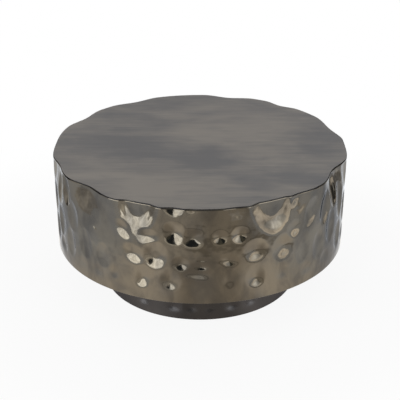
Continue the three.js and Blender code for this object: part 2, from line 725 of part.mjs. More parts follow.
const table = new THREE.Group();
table.add(
  ...drumShell(),
  ...innerFrame(),
  undersidePanel(),
  ...panelScrews(),
  ...plinth(),
  ...plinthFixings(),
  ...glides(),
);

export default table;
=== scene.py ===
"""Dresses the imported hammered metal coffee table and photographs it.

The CAD part is loaded as a fixed frame. The drum's wall, its top and the plinth's wall are modelled again in
fine detail, and every other node keeps its shape and gets a better material. All sizes are in metres, +Z up.
A turn of 0 is the front, -Y, and turns grow towards +X.
"""

import logging
import math
from dataclasses import dataclass, field
from enum import Enum
from typing import Callable, Iterable, Sequence, Union

import bmesh
import bpy
import numpy as np
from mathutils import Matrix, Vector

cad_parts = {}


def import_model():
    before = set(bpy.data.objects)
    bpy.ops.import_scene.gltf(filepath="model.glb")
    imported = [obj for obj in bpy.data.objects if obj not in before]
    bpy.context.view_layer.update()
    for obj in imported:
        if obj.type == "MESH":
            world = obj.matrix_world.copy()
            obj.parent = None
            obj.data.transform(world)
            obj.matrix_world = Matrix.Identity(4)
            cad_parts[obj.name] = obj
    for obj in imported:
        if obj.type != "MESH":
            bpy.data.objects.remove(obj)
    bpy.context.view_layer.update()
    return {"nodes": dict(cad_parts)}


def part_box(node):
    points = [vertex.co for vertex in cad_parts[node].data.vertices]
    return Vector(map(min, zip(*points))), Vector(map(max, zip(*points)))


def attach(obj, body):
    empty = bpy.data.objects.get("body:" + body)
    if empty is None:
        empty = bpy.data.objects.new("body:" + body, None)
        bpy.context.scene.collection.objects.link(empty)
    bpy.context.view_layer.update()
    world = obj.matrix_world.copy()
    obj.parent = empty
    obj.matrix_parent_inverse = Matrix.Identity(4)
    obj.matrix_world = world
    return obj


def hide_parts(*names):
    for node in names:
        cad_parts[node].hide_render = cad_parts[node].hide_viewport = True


LOG = logging.getLogger("hammered_table")
BODY = "root"
MM = 0.001
FULL_TURN = 2 * math.pi
SHEET = 1.6 * MM
CLOSE = 0.01 * MM

Colour = tuple[float, float, float]
Span = tuple[float, float]
Operand = Union["Value", float]
Fed = Union["Value", float, Sequence[float]]
Settings = dict[str, object]
Inputs = dict[str | int, Fed]
Picked = Union[bmesh.types.BMEdge, bmesh.types.BMFace]


class Blend(Enum):
    """How two colours are mixed."""

    MIX = "MIX"
    MULTIPLY = "MULTIPLY"


class Slot(Enum):
    """The record's material slots."""

    POLISHED_WALL = "polished_wall"
    SATIN_TOP = "satin_top"
    DARK_PLINTH = "dark_plinth"


def grey(level: float) -> Colour:
    """A neutral colour of one level."""
    return (level, level, level)


# Shader maths


class Value:
    """A shader socket that Python expressions can add, scale and compare."""

    def __init__(self, graph: "Graph", socket: bpy.types.NodeSocket) -> None:
        """Wraps one output socket of a graph's node."""
        self.graph = graph
        self.socket = socket

    def __add__(self, other: Operand) -> "Value":
        """This value plus another."""
        return self.graph.math("ADD", self, other)

    def __radd__(self, other: Operand) -> "Value":
        """Another value plus this one."""
        return self.graph.math("ADD", other, self)

    def __sub__(self, other: Operand) -> "Value":
        """This value less another."""
        return self.graph.math("SUBTRACT", self, other)

    def __rsub__(self, other: Operand) -> "Value":
        """Another value less this one."""
        return self.graph.math("SUBTRACT", other, self)

    def __mul__(self, other: Operand) -> "Value":
        """This value times another."""
        return self.graph.math("MULTIPLY", self, other)

    def __rmul__(self, other: Operand) -> "Value":
        """Another value times this one."""
        return self.graph.math("MULTIPLY", other, self)

    def __neg__(self) -> "Value":
        """This value with its sign turned."""
        return self.graph.math("MULTIPLY", self, -1.0)

    def __abs__(self) -> "Value":
        """This value without its sign."""
        return self.graph.math("ABSOLUTE", self)

    def smooth(self, start: float, end: float) -> "Value":
        """A soft step from 0, where this value is at start, to 1 at end.

        Args:
            start: where the step begins.
            end: where the step is complete.

        Returns:
            The step as a value.
        """
        return self.graph.value(
            "ShaderNodeMapRange",
            {"interpolation_type": "SMOOTHSTEP"},
            {"Value": self, "From Min": start, "From Max": end},
        )

    def between(self, low: float, high: float, soft: float) -> "Value":
        """A soft-edged mask that is 1 where this value lies between two limits.

        Args:
            low: the lower limit.
            high: the upper limit.
            soft: half the width of each soft edge.

        Returns:
            The mask as a value.
        """
        return self.smooth(low - soft, low + soft) * (1 - self.smooth(high - soft, high + soft))


@dataclass(frozen=True)
class Noise:
    """Soft noise: its features to a metre, its finer layers, its twist and its scale along each axis."""

    scale: float
    detail: float = 2.0
    swirl: float = 0.0
    stretch: tuple[float, float, float] | None = None


class Graph:
    """A node tree that grows by method calls and by expressions on its values."""

    def __init__(self, tree: bpy.types.NodeTree) -> None:
        """Starts from an emptied node tree."""
        tree.nodes.clear()
        self.tree = tree

    def node(
        self, kind: str, settings: Settings | None = None, inputs: Inputs | None = None
    ) -> bpy.types.Node:
        """Adds a node.

        Args:
            kind: the node's type.
            settings: its properties, which are set first.
            inputs: numbers, colours or values for its sockets, by name or place.

        Returns:
            The node.
        """
        made = self.tree.nodes.new(kind)
        for name, value in (settings or {}).items():
            setattr(made, name, value)
        for name, value in (inputs or {}).items():
            socket = made.inputs[name]
            if isinstance(value, Value):
                self.tree.links.new(value.socket, socket)
            else:
                socket.default_value = (*value, 1.0) if socket.type == "RGBA" else value
        return made

    def value(
        self, kind: str, settings: Settings | None = None, inputs: Inputs | None = None, output: str | int = 0
    ) -> Value:
        """Adds a node and gives one of its outputs.

        Args:
            kind: the node's type.
            settings: its properties.
            inputs: numbers, colours or values for its sockets.
            output: the output's name or place.

        Returns:
            The output as a value.
        """
        return Value(self, self.node(kind, settings, inputs).outputs[output])

    def math(self, operation: str, *terms: Operand) -> Value:
        """Adds a Math node that works on numbers and values."""
        return self.value("ShaderNodeMath", {"operation": operation}, dict(enumerate(terms)))

    def mix(self, share: Operand, first: Fed, second: Fed, blend: Blend = Blend.MIX) -> Value:
        """Mixes two colours.

        Args:
            share: the second colour's share.
            first: the colour at a share of 0.
            second: the colour at a share of 1, or what the first is multiplied by.
            blend: how they are mixed.

        Returns:
            The mixed colour.
        """
        settings = {"data_type": "RGBA", "blend_type": blend.value}
        return self.value("ShaderNodeMix", settings, {0: share, 6: first, 7: second}, 2)

    def place(self) -> Value:
        """The point being shaded, in the object's own coordinates."""
        return self.value("ShaderNodeTexCoord", output="Object")

    def axes(self, place: Value) -> tuple[Value, ...]:
        """A point's X, Y and Z."""
        split = self.node("ShaderNodeSeparateXYZ", None, {"Vector": place})
        return tuple(Value(self, split.outputs[axis]) for axis in ("X", "Y", "Z"))

    def length(self, place: Value) -> Value:
        """How far a point lies from the origin."""
        return self.value("ShaderNodeVectorMath", {"operation": "LENGTH"}, {0: place}, "Value")

    def bearing(self, across: Value, along: Value) -> Value:
        """How many degrees round from the front a point lies, growing towards +X."""
        return self.math("ARCTAN2", across, -along) * math.degrees(1)

    def noise(self, place: Value, noise: Noise, output: str | int = 0) -> Value:
        """Soft noise between 0 and 1.

        Args:
            place: the point that the noise reads.
            noise: what the noise is like.
            output: the noise's output, a number or "Color".

        Returns:
            The noise as a value.
        """
        if noise.stretch is not None:
            place = self.value("ShaderNodeMapping", None, {"Vector": place, "Scale": noise.stretch})
        inputs = {"Vector": place, "Scale": noise.scale, "Detail": noise.detail, "Distortion": noise.swirl}
        return self.value("ShaderNodeTexNoise", None, inputs, output)

    def bump(self, height: Value, distance: float, under: Value | None = None) -> Value:
        """A normal that follows a height.

        Args:
            height: the height, from 0 to 1.
            distance: how far a height of 1 stands out, in metres.
            under: a normal that this one is laid over.

        Returns:
            The normal.
        """
        inputs: Inputs = {"Height": height, "Distance": distance, "Strength": 1.0}
        if under is not None:
            inputs["Normal"] = under
        return self.value("ShaderNodeBump", None, inputs)


# Finishes


@dataclass(frozen=True, kw_only=True)
class Finish:
    """What every finish has: a name, and nodes that its kind adds."""

    name: str

    def material(self) -> bpy.types.Material:
        """The finish as a material, made once.

        Returns:
            The material.
        """
        made = bpy.data.materials.get(self.name)
        if made is None:
            made = bpy.data.materials.new(self.name)
            made.use_nodes = True
            graph = Graph(made.node_tree)
            graph.node("ShaderNodeOutputMaterial", None, {"Surface": self.shade(graph)})
        return made

    def shade(self, graph: Graph) -> Value:
        """Adds the finish's own nodes and gives its shader."""
        raise NotImplementedError


@dataclass(frozen=True, kw_only=True)
class Coat(Finish):
    """A finish of the table itself; it is metal unless its kind says otherwise."""

    roughness: float
    metallic: float = 1.0
    edge_tint: Colour = grey(1.0)

    def shader(self, graph: Graph, colour: Value, uneven: Value, normal: Value) -> Value:
        """Adds the shader of the coat.

        Args:
            graph: the material's graph.
            colour: its colour.
            uneven: what is added to its roughness.
            normal: its normal.

        Returns:
            The shader.
        """
        inputs: Inputs = {
            "Base Color": colour,
            "Metallic": self.metallic,
            "Roughness": self.roughness + uneven,
            "Specular Tint": self.edge_tint,
            "Normal": normal,
        }
        return graph.value("ShaderNodeBsdfPrincipled", None, inputs)


@dataclass(frozen=True, kw_only=True)
class HammeredNickel(Coat):
    """Dark nickel polished over hammered sheet, with faint tarnish and a slight ripple between the blows."""

    name: str = "hammered_nickel"
    bright: Colour = (0.163, 0.141, 0.109)
    tarnished: Colour = (0.100, 0.089, 0.074)
    cool: Colour = (0.122, 0.117, 0.109)
    edge_tint: Colour = (0.62, 0.63, 0.65)
    roughness: float = 0.085
    cloud: Noise = Noise(8.0, 4.0, 0.8, (1.0, 1.0, 0.6))
    streak: Noise = Noise(26.0, 3.0, 0.9, (1.0, 1.0, 0.6))
    streak_share: float = 0.35
    tarnish_span: Span = (0.38, 0.62)
    bloom: Noise = Noise(10.0, 2.0, 0.9, (1.0, 1.0, 0.6))
    bloom_span: Span = (0.5, 0.7)
    bloom_share: float = 0.3
    rough_span: Span = (0.4, 0.8)
    rough_streak: float = 0.05
    ripple: Noise = Noise(21.0)
    ripple_height: float = 1.6 * MM
    grain: Noise = Noise(900.0)
    grain_height: float = 0.004 * MM

    def shade(self, graph: Graph) -> Value:
        """Adds the nickel's nodes and gives its shader.

        Args:
            graph: the material's graph.

        Returns:
            The shader.
        """
        place = graph.place()
        streak = graph.noise(place, self.streak)
        dull = graph.noise(place, self.cloud) * (1 - self.streak_share) + streak * self.streak_share
        colour = graph.mix(dull.smooth(*self.tarnish_span), self.bright, self.tarnished)
        bloom = graph.noise(place, self.bloom).smooth(*self.bloom_span)
        colour = graph.mix(bloom * self.bloom_share, colour, self.cool)
        ripple = graph.bump(graph.noise(place, self.ripple), self.ripple_height)
        normal = graph.bump(graph.noise(place, self.grain), self.grain_height, ripple)
        return self.shader(graph, colour, self.rough_streak * streak.smooth(*self.rough_span), normal)


@dataclass(frozen=True, kw_only=True)
class SatinTop(Coat):
    """Brushed dark nickel: fine streaks along X, and broad warm and cool clouds where the film is uneven.

    Each row of clouds is listed: its middle along X and Y, its half width and half depth, all as
    shares of the reach, and how cool it is; a warm one is below zero. Their outlines stray by a noise.
    """

    name: str = "satin_nickel"
    warm: Colour = (0.327, 0.305, 0.278)
    cool: Colour = (0.207, 0.205, 0.206)
    cool_span: Span = (0.33, 0.67)
    edge_tint: Colour = (0.62, 0.62, 0.64)
    roughness: float = 0.4
    film: Noise = Noise(5.0, 4.0, 0.5, (0.8, 1.3, 1.0))
    film_share: float = 0.5
    smear: Noise = Noise(9.0, 4.0, 0.5, (1.0, 3.0, 1.0))
    smear_share: float = 0.3
    streak: Noise = Noise(1.0, 3.0, 0.0, (9.0, 170.0, 1.0))
    streak_share: float = 0.2
    streak_height: float = 0.03 * MM
    brushing: Noise = Noise(1.0, 2.0, 0.0, (2.5, 60.0, 1.0))
    rough_brushing: float = 0.08
    stray: Noise = Noise(7.0, 3.0)
    stray_size: tuple[float, float, float] = (0.3, 0.15, 0.0)
    reach: float = 0.4
    cloud_strength: float = 0.11
    cloud_rim: Span = (0.1, 1.1)
    clouds: tuple[tuple[float, float, float, float, float], ...] = (
        (0.25, 0.15, 0.6, 0.55, -1.0),
        (-0.35, -0.56, 0.65, 0.34, -1.0),
        (0.03, -0.2, 0.36, 0.26, 1.9),
        (-0.62, -0.03, 0.55, 0.36, 0.9),
        (0.86, 0.12, 0.38, 0.5, 1.1),
        (0.62, -0.54, 0.5, 0.28, 1.1),
        (-0.45, 0.72, 0.5, 0.34, 0.5),
        (0.15, -0.8, 0.45, 0.22, -0.4),
    )

    def shade(self, graph: Graph) -> Value:
        """Adds the satin top's nodes and gives its shader.

        Args:
            graph: the material's graph.

        Returns:
            The shader.
        """
        place = graph.place()
        twist = graph.noise(place, self.stray, "Color")
        middle = (0.5, 0.5, 0.5)
        bend = graph.value("ShaderNodeVectorMath", {"operation": "SUBTRACT"}, {0: twist, 1: middle})
        terms = {0: bend, 1: self.stray_size, 2: place}
        strayed = graph.value("ShaderNodeVectorMath", {"operation": "MULTIPLY_ADD"}, terms)
        streak = graph.noise(place, self.streak)
        film = graph.noise(place, self.film) * self.film_share
        film = film + graph.noise(place, self.smear) * self.smear_share
        film = film + streak * self.streak_share
        for x, y, wide, deep, cool in self.clouds:
            film = film + self.cloud(graph, strayed, (x, y), (wide, deep)) * (cool * self.cloud_strength)
        colour = graph.mix(film.smooth(*self.cool_span), self.warm, self.cool)
        uneven = self.rough_brushing * graph.noise(place, self.brushing)
        return self.shader(graph, colour, uneven, graph.bump(streak, self.streak_height))

    def cloud(self, graph: Graph, place: Value, middle: Span, half: Span) -> Value:
        """A soft round cloud that is 1 in its middle and 0 at its rim.

        Args:
            graph: the material's graph.
            place: the point being shaded, already strayed.
            middle: the cloud's middle, as shares of the reach.
            half: its half width and half depth, as shares of the reach.

        Returns:
            The cloud as a value.
        """
        shift = (-middle[0] / half[0], -middle[1] / half[1], 0.0)
        scale = (1 / (half[0] * self.reach), 1 / (half[1] * self.reach), 0.0)
        local = graph.value("ShaderNodeMapping", None, {"Vector": place, "Location": shift, "Scale": scale})
        return 1 - graph.length(local).smooth(*self.cloud_rim)


@dataclass(frozen=True, kw_only=True)
class Mottled(Coat):
    """A colour with soft patches of a second one, over a fine skin.

    A patch begins and is full where the patches' noise is at the ends of patch_span. The roughness follows
    the film's noise, or without one the patches'.
    """

    colour: Colour
    patch_colour: Colour
    patches: Noise
    patch_span: Span
    patch_share: float = 1.0
    film: Noise | None = None
    uneven: float
    skin: Noise
    skin_height: float

    def shade(self, graph: Graph) -> Value:
        """Adds the mottled coat's nodes and gives its shader.

        Args:
            graph: the material's graph.

        Returns:
            The shader.
        """
        place = graph.place()
        patches = graph.noise(place, self.patches)
        film = patches if self.film is None else graph.noise(place, self.film)
        share = patches.smooth(*self.patch_span) * self.patch_share
        colour = graph.mix(share, self.colour, self.patch_colour)
        normal = graph.bump(graph.noise(place, self.skin), self.skin_height)
        return self.shader(graph, colour, self.uneven * film, normal)


@dataclass(frozen=True, kw_only=True)
class PlinthNickel(Mottled):
    """The plinth's duller nickel, slightly rippled, set dark partly as its own finish and partly as painted
    shade of the drum above.
    """

    name: str = "dark_plinth_nickel"
    # Painted shade: these colours are darkened for the drum's shade over the plinth as well as for its darker
    # nickel.
    colour: Colour = (0.048, 0.0455, 0.0455)
    patch_colour: Colour = (0.062, 0.058, 0.057)
    edge_tint: Colour = (0.5, 0.5, 0.52)
    roughness: float = 0.3
    patches: Noise = Noise(9.0, 3.0, 0.3)
    patch_span: Span = (0.35, 0.7)
    film: Noise | None = Noise(40.0, 3.0)
    uneven: float = 0.08
    skin: Noise = Noise(18.0, 1.0)
    skin_height: float = 0.6 * MM


@dataclass(frozen=True, kw_only=True)
class EdgeSeamShade(Mottled):
    """The top's edge, painted near black as shade of the seam with the wall, rubbed in patches: a thin dark
    line round the drum.
    """

    name: str = "edge_nickel"
    # Painted shade: these colours stand for the shade in the seam between the top and the wall.
    colour: Colour = (0.030, 0.029, 0.031)
    patch_colour: Colour = (0.060, 0.056, 0.050)
    edge_tint: Colour = (0.20, 0.20, 0.21)
    roughness: float = 0.3
    patches: Noise = Noise(22.0, 3.0, 0.4)
    patch_span: Span = (0.45, 0.7)
    uneven: float = 0.1
    skin: Noise = Noise(700.0)
    skin_height: float = 0.006 * MM


@dataclass(frozen=True, kw_only=True)
class ZincPlate(Mottled):
    """Bright zinc on bolts, nuts and screws, clouded as plating is."""

    name: str = "zinc_plate"
    colour: Colour = (0.52, 0.53, 0.55)
    patch_colour: Colour = grey(0.36)
    roughness: float = 0.3
    patches: Noise = Noise(160.0, 3.0, 0.5)
    patch_span: Span = (0.4, 0.7)
    uneven: float = 0.15
    skin: Noise = Noise(700.0, 2.0, 0.0, (1.0, 1.0, 9.0))
    skin_height: float = 0.01 * MM


@dataclass(frozen=True, kw_only=True)
class Paint(Mottled):
    """Paint with a faint orange-peel skin and a little dust in its hollows."""

    name: str = "black_paint"
    colour: Colour = (0.012, 0.012, 0.0125)
    patch_colour: Colour = (0.030, 0.029, 0.028)
    roughness: float = 0.48
    metallic: float = 0.0
    patches: Noise = Noise(14.0, 4.0)
    patch_span: Span = (0.5, 0.8)
    patch_share: float = 0.6
    uneven: float = 0.18
    skin: Noise = Noise(320.0)
    skin_height: float = 0.06 * MM


@dataclass(frozen=True, kw_only=True)
class Nylon(Mottled):
    """Moulded black nylon, finely textured and scuffed where it slides."""

    name: str = "black_nylon"
    colour: Colour = grey(0.016)
    patch_colour: Colour = (0.045, 0.044, 0.042)
    roughness: float = 0.5
    metallic: float = 0.0
    patches: Noise = Noise(90.0, 3.0, 0.0, (1.0, 6.0, 1.0))
    patch_span: Span = (0.55, 0.8)
    uneven: float = 0.1
    skin: Noise = Noise(1400.0, 1.0)
    skin_height: float = 0.03 * MM


BOARD_PAINT = Paint(
    name="painted_board",
    colour=grey(0.010),
    patch_colour=(0.026, 0.025, 0.024),
    roughness=0.62,
    skin=Noise(110.0),
)
SCREW_BLACK = Paint(
    name="blackened_screw",
    colour=(0.014, 0.014, 0.015),
    patch_colour=grey(0.03),
    roughness=0.34,
    skin=Noise(900.0),
)


# Edit-mode helpers


class Element(Enum):
    """What edit mode picks, by the name of its list in a mesh."""

    EDGE = "edges"
    FACE = "faces"


def only(piece: bpy.types.Object) -> None:
    """Makes a piece the only one selected, and the active one.

    Args:
        piece: the piece.
    """
    bpy.ops.object.select_all(action="DESELECT")
    piece.select_set(True)
    bpy.context.view_layer.objects.active = piece


def start_round(name: str, steps: int, radius: float, level: float, filled: bool) -> bpy.types.Object:
    """Adds a circle to model a piece from, and opens it in edit mode with all of it selected.

    Args:
        name: the piece's name.
        steps: how many corners the circle has.
        radius: its radius.
        level: its height.
        filled: whether it is a disc rather than a ring.

    Returns:
        The piece.
    """
    bpy.ops.object.select_all(action="DESELECT")
    fill = "NGON" if filled else "NOTHING"
    bpy.ops.mesh.primitive_circle_add(vertices=steps, radius=radius, fill_type=fill, location=(0, 0, level))
    piece = bpy.context.object
    piece.name = name
    piece.data.name = name
    only(piece)
    bpy.ops.object.transform_apply(location=True, rotation=False, scale=False)
    bpy.ops.object.mode_set(mode="EDIT")
    bpy.ops.mesh.select_mode(type="EDGE")
    bpy.ops.mesh.select_all(action="SELECT")
    return piece


def extrude_up(rise: float) -> None:
    """Extrudes what is selected straight up, or down by a rise below zero."""
    bpy.ops.mesh.extrude_region_move(TRANSFORM_OT_translate={"value": (0, 0, rise)})


def close_mesh() -> None:
    """Turns all faces outwards and leaves edit mode."""
    bpy.ops.mesh.select_all(action="SELECT")
    bpy.ops.mesh.normals_make_consistent(inside=False)
    bpy.ops.object.mode_set(mode="OBJECT")


def pick(piece: bpy.types.Object, element: Element, wanted: Callable[[Picked], bool]) -> None:
    """Selects the edges or faces of a piece in edit mode that a test wants, and nothing else.

    Args:
        piece: the piece, in edit mode.
        element: whether edges or faces are picked.
        wanted: says of each whether it is wanted.
    """
    bpy.ops.mesh.select_mode(type=element.name)
    bpy.ops.mesh.select_all(action="DESELECT")
    mesh = bmesh.from_edit_mesh(piece.data)
    for item in getattr(mesh, element.value):
        if wanted(item):
            item.select_set(True)
    mesh.select_flush_mode()
    bmesh.update_edit_mesh(piece.data)


def rises(edge: bmesh.types.BMEdge, low: float, high: float, radius: float) -> bool:
    """Whether an edge runs upwards between two levels at a radius.

    Args:
        edge: the edge.
        low: the level of its lower end.
        high: the level of its upper end.
        radius: the radius of both ends.

    Returns:
        True for such an edge.
    """
    levels = sorted(corner.co.z for corner in edge.verts)
    radii = (corner.co.xy.length for corner in edge.verts)
    ends = abs(levels[0] - low) < CLOSE and abs(levels[1] - high) < CLOSE
    return ends and all(abs(found - radius) < CLOSE for found in radii)


def rings(edge: bmesh.types.BMEdge, level: float, radius: float) -> bool:
    """Whether an edge lies on the circle of a radius at a level.

    Args:
        edge: the edge.
        level: the circle's level.
        radius: its radius.

    Returns:
        True for such an edge.
    """
    places = [(corner.co.z, corner.co.xy.length) for corner in edge.verts]
    return all(abs(z - level) < CLOSE and abs(away - radius) < CLOSE for z, away in places)


# Hammered walls


def soft_step(value: np.ndarray, start: float, end: float) -> np.ndarray:
    """A soft step from 0 at start to 1 at end.

    Args:
        value: the values to judge.
        start: where the step begins.
        end: where it is complete.

    Returns:
        The step at each value.
    """
    share = np.clip((value - start) / (end - start), 0, 1)
    return share * share * (3 - 2 * share)


@dataclass(frozen=True)
class Blow:
    """One hammer blow on the wall.

    It has a place, a half width, a half height and a depth. Lean is how many degrees its width is turned from
    level. Slope share is how much of its reach slopes; the rest is a flat floor. Fullness rounds its outline:
    2 is an ellipse, less is more pointed and more is squarer. A crisp blow is a plain bowl with a sharp rim,
    so that two of them meet in a ridge.
    """

    turn: float
    level: float
    half_width: float
    half_height: float
    depth: float
    lean: float = 0.0
    slope_share: float = 1.0
    fullness: float = 2.0
    crisp: bool = False


@dataclass(frozen=True)
class Blows:
    """The blows on a round wall, of which the deepest one wins at each place."""

    radius: float
    each: tuple[Blow, ...]
    meeting_power: float = 4.0
    search_share: float = 1.5

    def depth_at(self, turns: np.ndarray, levels: np.ndarray) -> np.ndarray:
        """How far the blows have driven the wall in.

        Args:
            turns: the turns of the places.
            levels: their heights.

        Returns:
            The depth at each place.
        """
        total = np.zeros_like(turns)
        for blow in self.each:
            away = turns - blow.turn
            away -= FULL_TURN * np.round(away / FULL_TURN)
            side = self.radius * away
            rise = levels - blow.level
            widest = max(blow.half_width, blow.half_height) * self.search_share
            close = (np.abs(side) < widest) & (np.abs(rise) < widest)
            side, rise = side[close], rise[close]
            lean = math.radians(blow.lean)
            across = np.abs(side * math.cos(lean) + rise * math.sin(lean)) / blow.half_width
            up = np.abs(rise * math.cos(lean) - side * math.sin(lean)) / blow.half_height
            reach = (across**blow.fullness + up**blow.fullness) ** (1 / blow.fullness)
            if blow.crisp:
                share = np.clip(1 - reach**2, 0, 1)
            else:
                share = soft_step(1 - reach, 0, blow.slope_share)
            total[close] += (blow.depth * share) ** self.meeting_power
        return total ** (1 / self.meeting_power)


@dataclass(frozen=True)
class Scatter:
    """Staggered rows of blows round a wall, which stray from their pattern in even, never repeating steps.

    Each stray says how far the turn, height, width or depth goes, as a share of its own, and each step is
    the fraction by which it moves on from one blow to the next.
    """

    radius: float
    lower: float
    height: float
    rows: tuple[float, ...]
    pitch: float
    width: float
    depth: float
    tall_share: float = 1.0
    crisp: bool = False
    left_out: float = 0.0
    turn_stray: float = 0.6
    turn_step: float = 0.618034
    height_stray: float = 0.08
    height_step: float = 0.754878
    width_stray: float = 0.35
    width_step: float = 0.56984
    depth_stray: float = 0.7
    depth_step: float = 0.819173

    def blows(self) -> list[Blow]:
        """The scattered blows, without those on the stretch left out each side of the front.

        Returns:
            The blows.
        """
        made = []
        per_row = round(FULL_TURN * self.radius / self.pitch)
        for row, share in enumerate(self.rows):
            for place in range(per_row):
                index = row * per_row + place + 1
                stray = self.turn_stray * (index * self.turn_step % 1 - 0.5)
                turn = (place + row / 2 + stray) / per_row * FULL_TURN
                near = turn - FULL_TURN * round(turn / FULL_TURN)
                if abs(near) < self.left_out:
                    continue
                stray = self.height_stray * (index * self.height_step % 1 - 0.5)
                level = self.lower + self.height * (share + stray)
                half = self.width * (1 - self.width_stray * (index * self.width_step % 1)) / 2
                depth = self.depth * (1 - self.depth_stray * (index * self.depth_step % 1))
                made.append(Blow(turn, level, half, half * self.tall_share, depth, crisp=self.crisp))
        return made


@dataclass
class HammeredWall:
    """A round wall of sheet metal, raised from a circle and hammered; its lower rim stays a true circle.

    Its outer face has rows of corners and its inner face fewer. A corner is on the inner face where it lies
    deeper in the sheet than inner_share of it. The blows fade out down to rim_top and up to plain_from, but
    those of the edge don't fade upwards.
    """

    name: str
    finish: Finish
    slot: Slot
    radius: float
    lower: float
    upper: float
    rim_top: float
    plain_from: float
    steps: int
    rows: int
    inner_rows: int
    sheet: float = SHEET
    lip_round: float = 1.2 * MM
    lip_segments: int = 3
    inner_share: float = 0.7
    inner_samples: int = 9
    rim_fade: float = 24 * MM
    edge_fade: float = 24 * MM
    placed: Blows = field(init=False)
    edge: Blows = field(init=False)

    def dent(self, turns: np.ndarray, levels: np.ndarray) -> np.ndarray:
        """How far the wall is driven in.

        Args:
            turns: the turns of the places.
            levels: their heights.

        Returns:
            The depth at each place.
        """
        above = soft_step(levels, self.rim_top, self.rim_top + self.rim_fade)
        below = 1 - soft_step(levels, self.plain_from - self.edge_fade, self.plain_from)
        return above * (self.edge.depth_at(turns, levels) + below * self.placed.depth_at(turns, levels))

    def by_hand(self, rows: tuple[tuple[float, ...], ...], crisp: bool = False) -> list[Blow]:
        """Makes the blows of a table.

        Args:
            rows: for each blow its turn in degrees, its height as a share of the wall's, its half width, half
                height and depth in mm, and for some its lean, its slope share and its fullness.
            crisp: whether they are plain bowls with sharp rims.

        Returns:
            The blows.
        """
        made = []
        for turn, share, wide, tall, deep, *shape in rows:
            level = self.lower + share * (self.upper - self.lower)
            made.append(Blow(math.radians(turn), level, wide * MM, tall * MM, deep * MM, *shape, crisp=crisp))
        return made

    def build(self) -> bpy.types.Object:
        """Models the wall, hammers it and dresses it.

        Returns:
            The wall.
        """
        wall = self.raise_sheet()
        self.hammer(wall)
        only(wall)
        bpy.ops.object.shade_smooth()
        wall.data.materials.append(self.finish.material())
        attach(wall, BODY)
        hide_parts(self.name)
        wall.name = f"{self.name}_hammered"
        LOG.info("%s: %d faces", wall.name, len(wall.data.polygons))
        return wall

    def raise_sheet(self) -> bpy.types.Object:
        """Draws the sheet's section round the axis, closes it and cuts it into rows.

        Returns:
            The plain wall.
        """
        wall = start_round(f"{self.name}_sheet", self.steps, self.radius, self.upper, filled=False)
        inner = self.radius - self.sheet
        extrude_up(self.rim_top - self.upper)
        extrude_up(self.lower - self.rim_top)
        extrude_up(0.0)
        bpy.ops.transform.resize(value=(inner / self.radius, inner / self.radius, 1))
        extrude_up(self.upper - self.lower)
        edges, radii = Element.EDGE, (self.radius, inner)
        pick(wall, edges, lambda edge: any(rings(edge, self.upper, radius) for radius in radii))
        bpy.ops.mesh.bridge_edge_loops()
        pick(wall, edges, lambda edge: rises(edge, self.rim_top, self.upper, self.radius))
        bpy.ops.mesh.subdivide(number_cuts=self.rows - 1)
        pick(wall, edges, lambda edge: rises(edge, self.lower, self.upper, inner))
        bpy.ops.mesh.subdivide(number_cuts=self.inner_rows - 1)
        pick(wall, edges, lambda edge: rings(edge, self.lower, self.radius))
        bpy.ops.mesh.bevel(offset=self.lip_round, segments=self.lip_segments)
        close_mesh()
        return wall

    def hammer(self, wall: bpy.types.Object) -> None:
        """Drives the wall's corners in; the inner face follows the deepest dent beside each of its rows.

        Args:
            wall: the plain wall.
        """
        corners = np.empty(len(wall.data.vertices) * 3)
        wall.data.vertices.foreach_get("co", corners)
        corners = corners.reshape(-1, 3)
        turns = np.arctan2(corners[:, 0], -corners[:, 1])
        radii = np.hypot(corners[:, 0], corners[:, 1])
        levels = corners[:, 2]
        driven = self.dent(turns, levels)
        inner_row = (self.upper - self.lower) / self.inner_rows
        deepest = driven.copy()
        for share in np.linspace(-1, 1, self.inner_samples):
            beside = np.clip(levels + share * inner_row, self.lower, self.upper)
            deepest = np.maximum(deepest, self.dent(turns, beside))
        inside = radii < self.radius - self.inner_share * self.sheet
        radii -= np.where(inside, deepest, driven)
        corners[:, 0] = radii * np.sin(turns)
        corners[:, 1] = -radii * np.cos(turns)
        wall.data.vertices.foreach_set("co", corners.ravel())
        wall.data.update()


